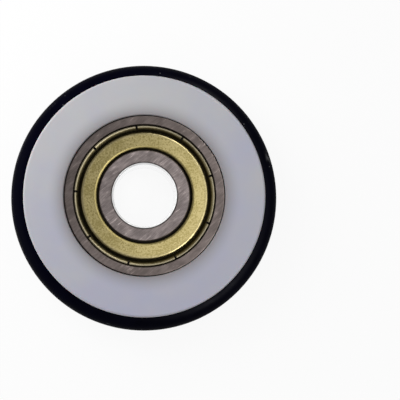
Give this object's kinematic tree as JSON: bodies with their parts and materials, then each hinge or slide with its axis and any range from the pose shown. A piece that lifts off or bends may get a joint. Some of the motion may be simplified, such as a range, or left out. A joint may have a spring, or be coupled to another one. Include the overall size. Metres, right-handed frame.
{
  "type": "v groove wheel with o-ring tyre",
  "caption": "Grooved nylon idler wheel with an O-ring tyre in its groove, turning on a shielded deep groove ball bearing pressed into its centre.",
  "frame": {"origin": "centre of the wheel on the axle line, halfway between the body's two faces", "axes": "+Z along the axle and out of the front face, which the bearing is pressed in from; +X and +Y across the wheel; it lies on its back face"},
  "size_m": [0.0442, 0.0442, 0.0102],
  "materials": {
    "nylon": "natural moulded nylon, satin and slightly translucent",
    "rubber": "black nitrile rubber, satin gloss",
    "ground_steel": "ground bearing steel",
    "gold_zinc": "pressed steel sheet with a yellow zinc plate",
    "strip_steel": "pressed steel strip",
    "polished_steel": "polished bearing steel"
  },
  "bodies": {
    "hub": {"inner_ring": "ground_steel"},
    "wheel": {"wheel_body": "nylon", "o_ring_tyre": "rubber", "outer_ring": "ground_steel", "shield_front": "gold_zinc", "shield_back": "gold_zinc"},
    "cage": {"cage_front": "strip_steel", "cage_back": "strip_steel", "cage_rivets": "polished_steel"},
    "ball_1": {"ball_1": "polished_steel"},
    "ball_2": {"ball_2": "polished_steel"},
    "ball_3": {"ball_3": "polished_steel"},
    "ball_4": {"ball_4": "polished_steel"},
    "ball_5": {"ball_5": "polished_steel"},
    "ball_6": {"ball_6": "polished_steel"},
    "ball_7": {"ball_7": "polished_steel"}
  },
  "joints": [
    {"name": "wheel_spin", "type": "hinge", "parent": "hub", "child": "wheel", "pos_m": [0, 0, 0.001], "axis": [0, 0, 1], "continuous": true},
    {"name": "cage_spin", "type": "hinge", "parent": "hub", "child": "cage", "pos_m": [0, 0, 0.001], "axis": [0, 0, 1], "continuous": true},
    {"name": "ball_1_roll", "type": "hinge", "parent": "cage", "child": "ball_1", "pos_m": [0.009, 0, 0.001], "axis": [0, 0, 1], "continuous": true},
    {"name": "ball_2_roll", "type": "hinge", "parent": "cage", "child": "ball_2", "pos_m": [0.00561, 0.00704, 0.001], "axis": [0, 0, 1], "continuous": true},
    {"name": "ball_3_roll", "type": "hinge", "parent": "cage", "child": "ball_3", "pos_m": [-0.002, 0.00877, 0.001], "axis": [0, 0, 1], "continuous": true},
    {"name": "ball_4_roll", "type": "hinge", "parent": "cage", "child": "ball_4", "pos_m": [-0.00811, 0.0039, 0.001], "axis": [0, 0, 1], "continuous": true},
    {"name": "ball_5_roll", "type": "hinge", "parent": "cage", "child": "ball_5", "pos_m": [-0.00811, -0.0039, 0.001], "axis": [0, 0, 1], "continuous": true},
    {"name": "ball_6_roll", "type": "hinge", "parent": "cage", "child": "ball_6", "pos_m": [-0.002, -0.00877, 0.001], "axis": [0, 0, 1], "continuous": true},
    {"name": "ball_7_roll", "type": "hinge", "parent": "cage", "child": "ball_7", "pos_m": [0.00561, -0.00704, 0.001], "axis": [0, 0, 1], "continuous": true}
  ],
  "couplings": [
    {"joint": "cage_spin", "follows": "wheel_spin", "ratio": 0.63228},
    {"joint": "ball_1_roll", "follows": "wheel_spin", "ratio": 1.7577},
    {"joint": "ball_2_roll", "follows": "wheel_spin", "ratio": 1.7577},
    {"joint": "ball_3_roll", "follows": "wheel_spin", "ratio": 1.7577},
    {"joint": "ball_4_roll", "follows": "wheel_spin", "ratio": 1.7577},
    {"joint": "ball_5_roll", "follows": "wheel_spin", "ratio": 1.7577},
    {"joint": "ball_6_roll", "follows": "wheel_spin", "ratio": 1.7577},
    {"joint": "ball_7_roll", "follows": "wheel_spin", "ratio": 1.7577}
  ]
}
